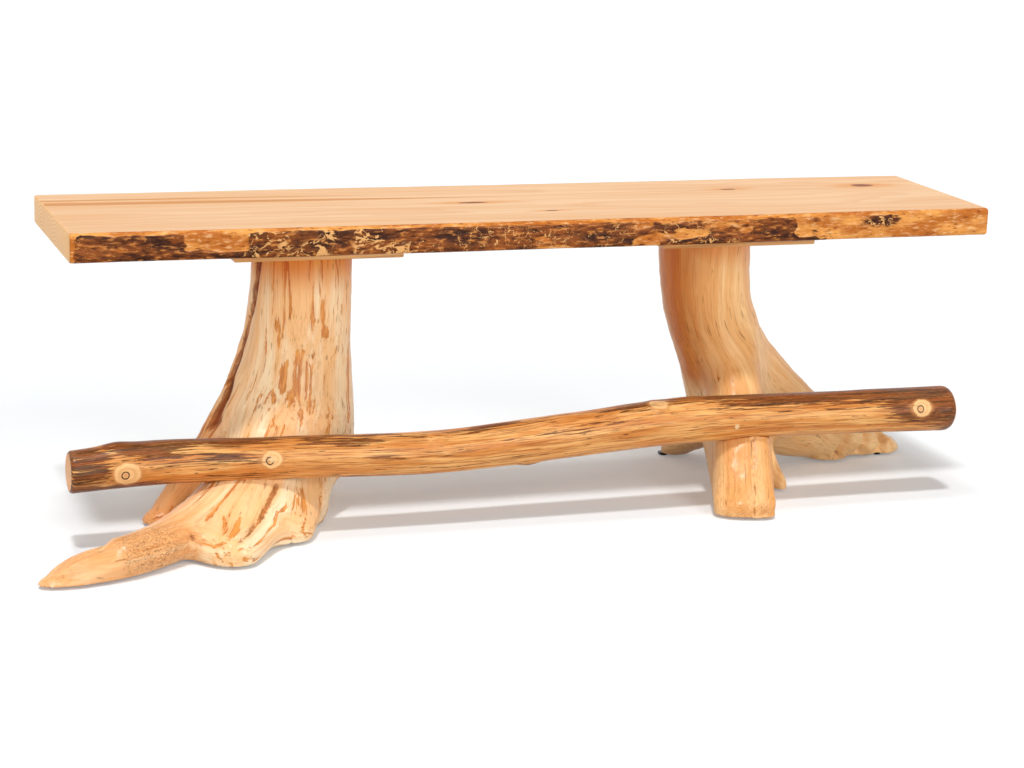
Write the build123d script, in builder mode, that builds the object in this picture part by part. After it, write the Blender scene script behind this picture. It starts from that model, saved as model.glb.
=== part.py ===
"""Rustic log bench: a live-edge seat on two root stumps, tied by a log that lies in saddles in their fronts.

Millimetres. +X runs along the seat to the sitter's left, -Y is the front and +Z is up.
The origin is on the floor, at the middle of the bench's whole outline seen from above.
"""

from build123d import *
from collections import namedtuple
from math import cos, radians, sin, tan
import os

os.makedirs("parts", exist_ok=True)

# ---- Seat ----
seat_height = 483.0
seat_length = 1524.0
slab_thickness = 45.0
front_board_width = 213.0
back_board_width = 127.0
seat_x = 39.4
seat_y = 92.3
live_edge_bow = 4.0
live_edge_arris = 6.0
sawn_arris = 2.0

# ---- Dowels across the glue line ----
dowel_radius = 5.0
dowel_length = 60.0
dowel_count = 5
dowel_end_gap = 1.0
dowel_seat_margin = 160.0

# ---- Mounting boards between seat and stumps ----
cleat_length = 270.0
cleat_width = 208.0
cleat_thickness = 19.0
cleat_arris = 1.5

# ---- Screws from below through the mounting boards into the seat ----
cleat_screw_radius = 2.5
cleat_screw_head_radius = 5.0
cleat_screw_length = 45.0
cleat_screw_point = 6.0
cleat_screw_margin = 20.0
countersink_angle = 90.0

# ---- Lag screws down into the stumps ----
lag_radius = 5.0
lag_length = 110.0
lag_point = 12.0
lag_tip_radius = 1.0
lag_head_flats = 17.0
lag_head_thickness = 6.5
lag_spacing = 70.0
washer_radius = 12.0
washer_thickness = 2.0
counterbore_radius = 13.0
counterbore_spare_depth = 1.5

# ---- Glides under the roots ----
glide_radius = 10.0
glide_flat_radius = 4.0
glide_thickness = 5.0
nail_radius = 1.5
nail_head_radius = 4.0
nail_head_thickness = 1.5
nail_length = 25.0
nail_point = 4.0
nail_tip_radius = 0.3

# ---- Log across the front ----
saddle_clearance = 0.2
log_y = -165.0
log_left_arris = 5.0
log_right_arris = 14.0
LogStation = namedtuple("LogStation", "x z diameter")
log_stations = [
    LogStation(-766.0, 119.0, 64.0),
    LogStation(-660.0, 126.0, 68.0),
    LogStation(-461.0, 124.0, 65.0),
    LogStation(-160.0, 119.0, 68.0),
    LogStation(0.0, 130.0, 70.5),
    LogStation(160.0, 142.0, 72.0),
    LogStation(312.0, 147.0, 71.0),
    LogStation(550.0, 145.5, 71.0),
    LogStation(717.0, 143.5, 76.0),
]

# ---- Screws through the log, and their plugs ----
stretcher_screw_radius = 3.0
stretcher_screw_head_radius = 4.0
stretcher_screw_head_length = 8.0
stretcher_screw_length = 120.0
stretcher_screw_point = 8.0
stretcher_screw_sink = 12.0
plug_proud = 0.6

# ---- Fits ----
fastener_clearance = 0.05
drill_spare = 2.0

# ---- Stumps ----
# Plan offsets are from the stump's axis at its top.  A trunk leans and widens from its top to its
# foot, late or soon as lean says.  knee and tip steer a root's run, collar and tip_ridge are the
# heights of its upper ridge, and fall says how soon the ridge drops.
Root = namedtuple(
    "Root",
    "knee tip collar tip_ridge width tip_width fall nose_length nose_share nose_drop",
    defaults=(14.0, 0.55, 0.0),
)
# A toe is a short ridge that leaves a root at its heel and ends in a round nose past its tip.
Toe = namedtuple("Toe", "heel tip height tip_height width tip_width")
# A glide sits under a root, at a share of its run and a step across it.
Glide = namedtuple("Glide", "root share across")
# screw_place is where the log's screw enters: along the seat from the stump, and above the log's axis.
Stump = namedtuple(
    "Stump",
    "x top_radius foot_radius foot_shift lean lobe_turn crown arch roots toes cleat_shift screw_place glides",
)

trunk_bottom = 70.0
trunk_levels = 7
trunk_lobes = 3
trunk_lobe_depth = 0.03
root_stations = 6
root_start = 0.1
toe_nose_length = 12.0
toe_nose_share = 0.55
section_points = 10
section_turn = 17.0
underside_share = 0.35

left = Stump(
    x=-370.0,
    top_radius=80.0,
    foot_radius=150.0,
    foot_shift=(-73.0, -5.0),
    lean=2.2,
    lobe_turn=40.0,
    crown=(-15.0, -5.0),
    arch=30.0,
    roots=[
        Root((-250, -290), (-392, -325), 170, 54, 120, 62, 1.8, 80.0, 0.3, 12.0),
        Root((-105, -180), (-188, -302), 300, 48, 104, 92, 2.2, 18.0, 0.5),
        Root((-45, -150), (-68, -212), 220, 42, 100, 76, 2.2, 18.0, 0.5),
        Root((0, -70), (-24, -128), 160, 40, 80, 56, 2.2),
        Root((-130, -20), (-230, -62), 335, 30, 90, 50, 1.0, 26.0, 0.4, 6.0),
        Root((-100, 70), (-176, 112), 240, 36, 130, 74, 2.2),
        Root((-30, 100), (-50, 150), 250, 36, 130, 82, 2.2),
        Root((30, 70), (62, 118), 230, 36, 110, 66, 2.2),
    ],
    toes=[],
    cleat_shift=4.0,
    screw_place=(-91.0, 6.0),
    glides=[Glide(0, 0.86, 4), Glide(1, 0.9, 4), Glide(4, 0.82, 0), Glide(6, 0.88, 0), Glide(7, 0.88, 0)],
)
right = Stump(
    x=326.0,
    top_radius=77.0,
    foot_radius=52.0,
    foot_shift=(140.0, 0.0),
    lean=2.2,
    lobe_turn=-42.0,
    crown=(20.0, 0.0),
    arch=70.0,
    roots=[
        Root((14, -135), (-17, -254), 330, 34, 88, 104, 0.85, 9.0, 0.7),
        Root((80, -50), (106, -112), 200, 38, 56, 26, 2.2),
        Root((205, 42), (418, 96), 450, 28, 112, 84, 1.85),
        Root((20, 80), (14, 142), 240, 38, 100, 66, 2.2),
        Root((100, 80), (150, 132), 240, 34, 90, 54, 2.2),
    ],
    toes=[
        Toe((280, 85), (277, 36), 64, 34, 66, 48),
        Toe((345, 92), (352, 57), 40, 26, 36, 26),
        Toe((385, 98), (395, 58), 36, 25, 38, 30),
    ],
    cleat_shift=16.0,
    screw_place=(-14.0, -6.0),
    glides=[Glide(0, 0.86, 0), Glide(2, 0.9, -24), Glide(3, 0.97, 12)],
)

# ---- Shared places ----
seat_underside = seat_height - slab_thickness
stump_top = seat_underside - cleat_thickness
lag_seat = seat_underside - counterbore_spare_depth - lag_head_thickness - washer_thickness
countersink_depth = (cleat_screw_head_radius - cleat_screw_radius) / tan(radians(countersink_angle / 2))
foot_plane = glide_thickness
glue_line_y = seat_y + (front_board_width + back_board_width) / 2 - back_board_width


def live_edge(y_edge, outwards, bows):
    """Points of a gently wavy edge along the seat; bows are the bulges at even steps."""
    step = seat_length / (len(bows) - 1)
    x_first = seat_x - seat_length / 2
    return [(x_first + i * step, y_edge + outwards * live_edge_bow * bow) for i, bow in enumerate(bows)]


def stump_axis(stump, z):
    """Centre of the leaning trunk at height z."""
    drop = (1 - z / stump_top) ** stump.lean
    return (
        seat_x + stump.x + stump.foot_shift[0] * drop,
        seat_y + stump.foot_shift[1] * drop,
    )


def trunk_section(stump, z):
    """Closed, slightly lobed outline of the trunk at height z."""
    flare = (1 - z / stump_top) ** stump.lean
    radius = stump.top_radius + (stump.foot_radius - stump.top_radius) * flare
    cx, cy = stump_axis(stump, z)
    points = []
    for i in range(4 * trunk_lobes):
        angle = radians(i * 90 / trunk_lobes)
        r = radius * (1 + trunk_lobe_depth * cos(trunk_lobes * angle + radians(stump.lobe_turn)))
        points.append((cx + r * cos(angle), cy + r * sin(angle)))
    with BuildSketch(Plane.XY.offset(z)) as outline:
        with BuildLine():
            Spline(*points, periodic=True)
        make_face()
    return outline.sketch


def root_place(stump, root, t):
    """Point and heading, in plan, of a root's centre line at t from 0 (trunk) to 1 (tip)."""
    axis = Vector(seat_x + stump.x, seat_y)
    start = axis + Vector(*stump.crown)
    knee = axis + Vector(*root.knee)
    tip = axis + Vector(*root.tip)
    point = start * (1 - t) ** 2 + knee * (2 * t * (1 - t)) + tip * t**2
    heading = (knee - start) * (1 - t) + (tip - knee) * t
    return point, heading.normalized()


def oval(origin, heading, half_width, half_height):
    """Closed oval in the upright plane across a heading."""
    points = []
    for i in range(section_points):
        angle = radians(section_turn + i * 360 / section_points)
        points.append((half_width * cos(angle), half_height * sin(angle)))
    with BuildSketch(Plane(origin=origin, x_dir=(-heading.Y, heading.X, 0), z_dir=heading)) as outline:
        with BuildLine():
            Spline(*points, periodic=True)
        make_face()
    return outline.sketch


def root_section(stump, root, t, share=1.0, ahead=0.0, drop=0.0):
    """Upright oval across a root, from its arched underside to its ridge."""
    point, heading = root_place(stump, root, t)
    ridge = root.tip_ridge + (root.collar - root.tip_ridge) * (1 - t) ** root.fall
    underside = stump.arch * (1 - t) - underside_share * ridge * t
    half_height = (ridge - underside) / 2
    half_width = (root.width + (root.tip_width - root.width) * t) / 2
    origin = point + heading * ahead + Vector(0, 0, ridge - half_height - drop)
    return oval(origin, heading, half_width * share, half_height * share)


def trunk_sections(stump):
    """Outlines from the arched underside to the sawn top."""
    step = (stump_top - trunk_bottom) / (trunk_levels - 1)
    return [trunk_section(stump, trunk_bottom + i * step) for i in range(trunk_levels)]


def root_sections(stump, root):
    """Outlines from inside the trunk to the rounded tip."""
    step = (1 - root_start) / (root_stations - 1)
    along = [root_section(stump, root, root_start + i * step) for i in range(root_stations)]
    nose = root_section(stump, root, 1.0, root.nose_share, root.nose_length, root.nose_drop)
    return along + [nose]


def toe_sections(stump, toe):
    """Outlines from a toe's heel, inside its root, to its rounded nose."""
    axis = Vector(seat_x + stump.x, seat_y)
    run = Vector(*toe.tip) - Vector(*toe.heel)
    heading = run.normalized()
    outlines = []
    for t, share, ahead in ((0, 1, 0), (0.5, 1, 0), (1, 1, 0), (1, toe_nose_share, toe_nose_length)):
        ridge = toe.height + (toe.tip_height - toe.height) * t
        half_height = ridge * (1 + underside_share) / 2
        half_width = (toe.width + (toe.tip_width - toe.width) * t) / 2
        origin = axis + Vector(*toe.heel) + run * t + heading * ahead + Vector(0, 0, ridge - half_height)
        outlines.append(oval(origin, heading, half_width * share, half_height * share))
    return outlines


def log_sections(extra_radius):
    """Round outlines of the log at its stations, larger all round by extra_radius."""
    outlines = []
    for station in log_stations:
        centre = (seat_x + station.x, seat_y + log_y, station.z)
        with BuildSketch(Plane(origin=centre, x_dir=(0, 1, 0), z_dir=(1, 0, 0))) as outline:
            Circle(station.diameter / 2 + extra_radius)
        outlines.append(outline.sketch)
    return outlines


def log_at(x):
    """Height of the log's axis and its radius at a place along the seat."""
    for a, b in zip(log_stations, log_stations[1:]):
        if a.x <= x <= b.x:
            share = (x - a.x) / (b.x - a.x)
            z = a.z + (b.z - a.z) * share
            return z, (a.diameter + (b.diameter - a.diameter) * share) / 2


def stretcher_screw_plane(stump):
    """Plane on the log's front skin that faces the stump, centred on the screw."""
    along, rise = stump.screw_place
    z, radius = log_at(stump.x + along)
    front = seat_y + log_y - (radius**2 - rise**2) ** 0.5
    return Plane(origin=(seat_x + stump.x + along, front, z + rise), x_dir=(1, 0, 0), z_dir=(0, 1, 0))


def lag_places(stump):
    """Where the two lag screws bear, on the floors of the cleat's counterbores."""
    x = seat_x + stump.x
    return [(x - lag_spacing / 2, seat_y, lag_seat), (x + lag_spacing / 2, seat_y, lag_seat)]


def cleat_screw_planes(stump):
    """Upward planes on the cleat's underside, one at each seat screw."""
    x = seat_x + stump.x + stump.cleat_shift
    along = cleat_length / 2 - cleat_screw_margin
    across = cleat_width / 2 - cleat_screw_margin
    return [Plane((x + i * along, seat_y + j * across, stump_top)) for i in (-1, 1) for j in (-1, 1)]


def glide_places(stump):
    """Floor points of the glides, under the roots that carry one."""
    places = []
    for spot in stump.glides:
        point, heading = root_place(stump, stump.roots[spot.root], spot.share)
        places.append((point.X - heading.Y * spot.across, point.Y + heading.X * spot.across, 0))
    return places


# ---- Seat boards ----
front_y = glue_line_y - front_board_width
back_y = glue_line_y + back_board_width
front_bows = [0.0, 0.5, 1.0, 0.7, 0.9, 0.3, 0.0]
back_bows = [0.0, 0.4, 1.0, 0.2, 0.3, 1.0, 0.0]

dowel_z = seat_underside + slab_thickness / 2
dowel_pitch = (seat_length - 2 * dowel_seat_margin) / (dowel_count - 1)
glue_plane = Plane(origin=(seat_x, glue_line_y, dowel_z), x_dir=(1, 0, 0), z_dir=(0, -1, 0))

sides = {"left": left, "right": right}
pieces = {}

for name, y_edge, outwards, bows in (
    ("front_seat_board", front_y, -1, front_bows),
    ("back_seat_board", back_y, 1, back_bows),
):
    with BuildPart() as board:
        with BuildSketch(Plane.XY.offset(seat_underside)):
            edge = live_edge(y_edge, outwards, bows)
            with BuildLine():
                Spline(*edge)
                Polyline(edge[-1], (edge[-1][0], glue_line_y), (edge[0][0], glue_line_y), edge[0])
            make_face()
        extrude(amount=slab_thickness)
        fillet(board.edges().filter_by(GeomType.BSPLINE), live_edge_arris)
        sawn_ends = board.faces().filter_by(Axis.X)
        end_edges = sawn_ends.edges().filter_by(lambda e: abs(e.center().Y - glue_line_y) > sawn_arris)
        fillet(end_edges, sawn_arris)
        with Locations(glue_plane):
            with GridLocations(dowel_pitch, 0, dowel_count, 1):
                Cylinder(dowel_radius, dowel_length + 2 * dowel_end_gap, mode=Mode.SUBTRACT)
        for stump in sides.values():
            with Locations(*cleat_screw_planes(stump)):
                Cylinder(
                    cleat_screw_radius + fastener_clearance,
                    cleat_screw_length + drill_spare,
                    align=(Align.CENTER, Align.CENTER, Align.MIN),
                    mode=Mode.SUBTRACT,
                )
    pieces[name] = board

with BuildPart() as seat_joint_dowels:
    with Locations(glue_plane):
        with GridLocations(dowel_pitch, 0, dowel_count, 1):
            Cylinder(dowel_radius, dowel_length)
pieces["seat_joint_dowels"] = seat_joint_dowels


# ---- Fasteners and glide, each shaped once on the origin ----
with BuildPart() as cleat_screw:
    with BuildSketch(Plane.XZ):
        with BuildLine():
            Polyline(
                (0, 0),
                (cleat_screw_head_radius, 0),
                (cleat_screw_radius, countersink_depth),
                (cleat_screw_radius, cleat_screw_length - cleat_screw_point),
                (0, cleat_screw_length),
                close=True,
            )
        make_face()
    revolve(axis=Axis.Z)

with BuildPart() as lag:
    with BuildSketch(Plane.XY.offset(washer_thickness)):
        RegularPolygon(lag_head_flats / 2, 6, major_radius=False)
    extrude(amount=lag_head_thickness)
    with BuildSketch(Plane.XZ):
        with BuildLine():
            Polyline(
                (0, washer_thickness),
                (lag_radius, washer_thickness),
                (lag_radius, lag_point - lag_length),
                (lag_tip_radius, -lag_length),
                (0, -lag_length),
                close=True,
            )
        make_face()
    revolve(axis=Axis.Z)

with BuildPart() as washer:
    with BuildSketch():
        Circle(washer_radius)
        Circle(lag_radius + fastener_clearance, mode=Mode.SUBTRACT)
    extrude(amount=washer_thickness)

with BuildPart() as log_screw:
    with BuildSketch(Plane.XZ):
        with BuildLine():
            Polyline(
                (0, 0),
                (stretcher_screw_head_radius, 0),
                (stretcher_screw_head_radius, stretcher_screw_head_length),
                (stretcher_screw_radius, stretcher_screw_head_length),
                (stretcher_screw_radius, stretcher_screw_length - stretcher_screw_point),
                (0, stretcher_screw_length),
                close=True,
            )
        make_face()
    revolve(axis=Axis.Z)

with BuildPart() as glide:
    with BuildSketch(Plane.XZ):
        with BuildLine():
            flat = Line((0, 0), (glide_flat_radius, 0))
            TangentArc(flat @ 1, (glide_radius, glide_thickness), tangent=flat % 1)
            Polyline((glide_radius, glide_thickness), (0, glide_thickness), (0, 0))
        make_face()
    revolve(axis=Axis.Z)
    with Locations((0, 0, glide_thickness)):
        Hole(nail_head_radius + fastener_clearance, depth=nail_head_thickness)

with BuildPart() as nail:
    with BuildSketch(Plane.XZ):
        with BuildLine():
            Polyline(
                (0, glide_thickness - nail_head_thickness),
                (nail_head_radius, glide_thickness - nail_head_thickness),
                (nail_head_radius, glide_thickness),
                (nail_radius, glide_thickness),
                (nail_radius, glide_thickness + nail_length - nail_point),
                (nail_tip_radius, glide_thickness + nail_length),
                (0, glide_thickness + nail_length),
                close=True,
            )
        make_face()
    revolve(axis=Axis.Z)

# ---- Stretcher log, the saddle that it lies in and the round that its plugs are cut to ----
with BuildPart() as stretcher_log:
    loft(sections=log_sections(0))
    log_ends = stretcher_log.faces().filter_by(Axis.X).sort_by(Axis.X)
    fillet(log_ends[0].edges(), log_left_arris)
    fillet(log_ends[-1].edges(), log_right_arris)
    for stump in sides.values():
        with Locations(stretcher_screw_plane(stump)):
            Cylinder(
                stretcher_screw_head_radius + fastener_clearance,
                2 * (stretcher_screw_sink + stretcher_screw_head_length),
                mode=Mode.SUBTRACT,
            )
            Cylinder(
                stretcher_screw_radius + fastener_clearance,
                2 * stretcher_screw_length,
                mode=Mode.SUBTRACT,
            )
pieces["stretcher_log"] = stretcher_log

with BuildPart() as saddle_tool:
    loft(sections=log_sections(saddle_clearance))

with BuildPart() as plug_round:
    loft(sections=log_sections(plug_proud))

# ---- One set of pieces for each stump ----
for side, stump in sides.items():
    screw_plane = stretcher_screw_plane(stump)

    with BuildPart() as rooted_stump:
        loft(sections=trunk_sections(stump))
        for root in stump.roots:
            loft(sections=root_sections(stump, root))
        for toe in stump.toes:
            loft(sections=toe_sections(stump, toe))
        split(bisect_by=Plane.XY.offset(foot_plane), keep=Keep.TOP)
        add(saddle_tool.part, mode=Mode.SUBTRACT)
        with Locations(*lag_places(stump)):
            Hole(lag_radius + fastener_clearance, depth=lag_length + drill_spare)
        with Locations(screw_plane):
            Cylinder(
                stretcher_screw_radius + fastener_clearance,
                stretcher_screw_sink + stretcher_screw_length + drill_spare,
                align=(Align.CENTER, Align.CENTER, Align.MIN),
                mode=Mode.SUBTRACT,
            )
        with Locations(*glide_places(stump)):
            Cylinder(
                nail_radius + fastener_clearance,
                glide_thickness + nail_length + drill_spare,
                align=(Align.CENTER, Align.CENTER, Align.MIN),
                mode=Mode.SUBTRACT,
            )
    pieces[f"{side}_stump"] = rooted_stump

    with BuildPart() as cleat:
        with BuildSketch(Plane.XY.offset(stump_top)):
            with Locations((seat_x + stump.x + stump.cleat_shift, seat_y)):
                Rectangle(cleat_length, cleat_width)
        extrude(amount=cleat_thickness)
        chamfer(cleat.edges().group_by(Axis.Z)[0], cleat_arris)
        with Locations(*[(x, y, seat_underside) for x, y, z in lag_places(stump)]):
            CounterBoreHole(
                lag_radius + fastener_clearance, counterbore_radius, seat_underside - lag_seat
            )
        with Locations(*[Plane(plane.origin, z_dir=(0, 0, -1)) for plane in cleat_screw_planes(stump)]):
            CounterSinkHole(
                cleat_screw_radius + fastener_clearance,
                cleat_screw_head_radius + fastener_clearance,
                counter_sink_angle=countersink_angle,
            )
    pieces[f"{side}_cleat"] = cleat

    with BuildPart() as cleat_screws:
        with Locations(*cleat_screw_planes(stump)):
            add(cleat_screw.part)
    pieces[f"{side}_cleat_screws"] = cleat_screws

    with BuildPart() as lags:
        with Locations(*lag_places(stump)):
            add(lag.part)
    pieces[f"{side}_stump_lags"] = lags

    with BuildPart() as washers:
        with Locations(*lag_places(stump)):
            add(washer.part)
    pieces[f"{side}_stump_washers"] = washers

    with BuildPart() as screw:
        with Locations(screw_plane.offset(stretcher_screw_sink)):
            add(log_screw.part)
    pieces[f"{side}_stretcher_screw"] = screw

    with BuildPart() as plug:
        with Locations(screw_plane.offset(stretcher_screw_sink)):
            Cylinder(
                stretcher_screw_head_radius,
                2 * stretcher_screw_sink,
                align=(Align.CENTER, Align.CENTER, Align.MAX),
            )
        add(plug_round.part, mode=Mode.INTERSECT)
    pieces[f"{side}_stretcher_plug"] = plug

    with BuildPart() as glides:
        with Locations(*glide_places(stump)):
            add(glide.part)
    pieces[f"{side}_glides"] = glides

    with BuildPart() as nails:
        with Locations(*glide_places(stump)):
            add(nail.part)
    pieces[f"{side}_glide_nails"] = nails

for name, piece in pieces.items():
    piece.part.label = name
    export_step(piece.part, f"parts/{name}.step")
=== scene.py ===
# %% [markdown]
# # A rustic log bench
# A plank seat with bark still on its long edges rests on two root stumps, and a bent peeled log lies across
# the front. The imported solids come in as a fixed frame. The seat boards, the stumps and the log are made again
# here as worked-out surfaces with bark, knots and carved marks. The cleats, dowels, plugs, glides, screws and
# nails stay as they are and get a finish. Shapes are worked out in millimetres and become metres in the mesh.

# %% Load the frame
from collections import namedtuple

import bpy
from mathutils import Matrix, Vector
import numpy as np
import openvdb


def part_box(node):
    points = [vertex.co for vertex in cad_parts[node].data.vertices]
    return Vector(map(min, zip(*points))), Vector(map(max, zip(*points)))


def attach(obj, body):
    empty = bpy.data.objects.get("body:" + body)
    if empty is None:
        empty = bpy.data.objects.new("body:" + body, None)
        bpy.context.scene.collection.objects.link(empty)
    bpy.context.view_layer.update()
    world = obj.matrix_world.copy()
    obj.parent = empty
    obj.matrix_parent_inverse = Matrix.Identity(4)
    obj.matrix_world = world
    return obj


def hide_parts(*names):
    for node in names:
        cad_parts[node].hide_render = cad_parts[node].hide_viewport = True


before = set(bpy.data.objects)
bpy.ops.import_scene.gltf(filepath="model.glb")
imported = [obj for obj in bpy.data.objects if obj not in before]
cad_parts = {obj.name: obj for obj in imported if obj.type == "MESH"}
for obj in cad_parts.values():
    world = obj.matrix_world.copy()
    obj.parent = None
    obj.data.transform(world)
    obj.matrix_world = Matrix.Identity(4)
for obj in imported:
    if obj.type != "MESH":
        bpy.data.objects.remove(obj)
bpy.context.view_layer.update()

# %% [markdown]
# Every new piece ends as points and faces in one mesh. A tube of rings needs only its points, because the faces
# between neighbours always follow the same rule, so one helper makes them for all tubes and closes each end with
# a fan of triangles round a pole. Values that the finish needs, such as how much bark is left, travel with the
# points as named attributes.

# %% Helpers that turn grids into pieces
MM = 0.001
mm_in_metre = 1000.0
crease_angle = np.radians(48)


def grid_faces(rows, columns):
    """Faces of a tube: point (i, j) joins (i, j+1), (i+1, j+1) and (i+1, j), and the last column joins the first."""
    i, j = np.meshgrid(np.arange(rows - 1), np.arange(columns), indexing="ij")
    k = (j + 1) % columns
    quads = np.stack([i * columns + j, i * columns + k, (i + 1) * columns + k, (i + 1) * columns + j], axis=-1)
    return quads.reshape(-1, 4)


def cap_faces(ring_start, columns, pole, outwards):
    """Three-sided faces from one ring to its pole; outwards turns them over."""
    j = np.arange(columns)
    k = (j + 1) % columns
    ring = (ring_start + k, ring_start + j) if outwards else (ring_start + j, ring_start + k)
    return np.stack([ring[0], ring[1], np.full(columns, pole)], axis=-1)


def make_piece(name, points, quads, triangles, attributes):
    """A smooth mesh at the origin from points in millimetres, with one attribute for each named array."""
    mesh = bpy.data.meshes.new(name)
    mesh.vertices.add(len(points))
    mesh.vertices.foreach_set("co", (points * MM).astype(np.float32).ravel())
    corners = np.concatenate([quads.ravel(), triangles.ravel()]).astype(np.int32)
    starts = np.concatenate([np.arange(len(quads)) * 4, 4 * len(quads) + np.arange(len(triangles)) * 3])
    mesh.loops.add(len(corners))
    mesh.loops.foreach_set("vertex_index", corners)
    mesh.polygons.add(len(starts))
    mesh.polygons.foreach_set("loop_start", starts.astype(np.int32))
    mesh.update(calc_edges=True)
    mesh.validate()
    mesh.shade_smooth()
    mesh.set_sharp_from_angle(angle=crease_angle)
    for key, values in attributes.items():
        kind, field = ("FLOAT", "value") if values.ndim == 1 else ("FLOAT_VECTOR", "vector")
        layer = mesh.attributes.new(key, kind, "POINT")
        layer.data.foreach_set(field, values.astype(np.float32).ravel())
    piece = bpy.data.objects.new(name, mesh)
    bpy.context.scene.collection.objects.link(piece)
    print(name, "has", len(points), "points and", 2 * len(quads) + len(triangles), "triangles")
    return piece


def make_tube(name, points, poles, attributes, turned_over=False):
    """A closed piece from rings of points and a pole at each end; attributes hold each grid and its poles' values."""
    rows, columns = points.shape[:2]
    count = rows * columns
    quads = grid_faces(rows, columns)
    caps = np.concatenate([
        cap_faces(0, columns, count, True), cap_faces(count - columns, columns, count + 1, False)
    ])
    if turned_over:
        quads, caps = quads[:, ::-1], caps[:, ::-1]
    kept = {
        key: np.concatenate([grid.reshape(count, *grid.shape[2:]), at_poles])
        for key, (grid, at_poles) in attributes.items()
    }
    return make_piece(name, np.concatenate([points.reshape(count, 3), poles]), quads, caps, kept)


# %% [markdown]
# Wood that a tree has shaped is never quite even. Ripple gives smooth random heights: fixed random values sit on
# the corners of a lattice, and every point blends the eight round it. The finer the lattice that the points are
# divided by, the smaller the bumps.

# %% Smooth random heights
def ripple(x, y, z, seed):
    """Heights from -1 to 1, blended with smooth weights from fixed random values on a unit lattice."""
    place = np.stack(np.broadcast_arrays(x, y, z), axis=-1).astype(float)
    cell = np.floor(place).astype(np.int64)
    part = place - cell
    part = part * part * (3 - 2 * part)
    total = 0.0
    for corner in np.ndindex(2, 2, 2):
        key = cell + np.array(corner)
        number = key[..., 0] * 73856093 ^ key[..., 1] * 19349663 ^ key[..., 2] * 83492791 ^ seed * 2654435761
        number = (number ^ (number >> 13)) * 1274126177 & 0xFFFFFFFF
        value = ((number ^ (number >> 15)) & 0xFFFF) / 32767.5 - 1
        total = total + value * np.prod(np.where(corner, part, 1 - part), axis=-1)
    return total


def ease(value, low, high):
    """0 below low, 1 above high, and a smooth S between them."""
    share = np.clip((value - low) / (high - low), 0, 1)
    return share * share * (3 - 2 * share)


def along_stations(x, stations, values):
    """A smooth curve through the values at the stations, each piece a cubic with the slopes of its neighbours."""
    slopes = np.gradient(values, stations)
    i = np.clip(np.searchsorted(stations, x) - 1, 0, len(stations) - 2)
    width = stations[i + 1] - stations[i]
    s = np.clip((x - stations[i]) / width, 0, 1)
    rise = values[i] * (2 * s**3 - 3 * s**2 + 1) + values[i + 1] * (3 * s**2 - 2 * s**3)
    return rise + width * (slopes[i] * (s**3 - 2 * s**2 + s) + slopes[i + 1] * (s**3 - s**2))


# %% [markdown]
# ## The stretcher log
# The log is a profile carried along a path: a circle whose centre and size follow a row of stations. On it sit
# the marks of its branches: each blaze is a swelling that a knife has cut flat. Long shallow facets run along
# it where the bark was peeled.

# %% Path of the log
seat_x, seat_y = 39.4, 92.3
seat_height, seat_length, slab_thickness = 483.0, 1524.0, 45.0
log_y = seat_y - 165.0
log_x = seat_x + np.array([-766.0, -660.0, -461.0, -160.0, 0.0, 160.0, 312.0, 550.0, 717.0])
log_z = np.array([119.0, 126.0, 124.0, 119.0, 130.0, 142.0, 147.0, 145.5, 143.5])
log_diameter = np.array([64.0, 68.0, 65.0, 68.0, 70.5, 72.0, 71.0, 71.0, 76.0])


def log_centre(x):
    """Height of the log's axis and its radius at x."""
    return along_stations(x, log_x, log_z), along_stations(x, log_x, log_diameter) / 2


# A blaze is where a branch was cut off: its place along the log and its height, both as the front shows them,
# how far the swelling stands out and spreads, and how proud the flat cut is.
Blaze = namedtuple("Blaze", "x height swell spread proud")
blazes = [
    Blaze(seat_x - 683, 121.0, 5.0, 21.0, 1.0),
    Blaze(seat_x - 461, 130.0, 3.2, 16.0, 0.6),
    Blaze(seat_x + 647, 155.0, 5.0, 17.0, 1.2),
    Blaze(seat_x + 181, 176.0, 7.0, 17.0, 6.0),
]
# The plugs' places, where the surface keeps to the plain round so that each plug stands just proud of it.
plugs = [(seat_x - 461.0, 130.0), (seat_x + 312.0, 141.0)]
plug_round, plug_fade = 8.0, 20.0
# Bumps where the log is only swollen: place, angle up from the front, height and spread.
bumps = [
    (-694, 95, 4.0, 24), (-35, -80, 3.5, 18), (-192, 55, 2.5, 14), (20, 60, 2.5, 30), (140, 50, 4.0, 45),
    (240, 84, 4.5, 60),
]
facet_height, swell_height = 0.55, 0.9


def wrap(angle):
    """The same turn, written between minus and plus half a circle."""
    return (angle + np.pi) % (2 * np.pi) - np.pi


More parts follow.
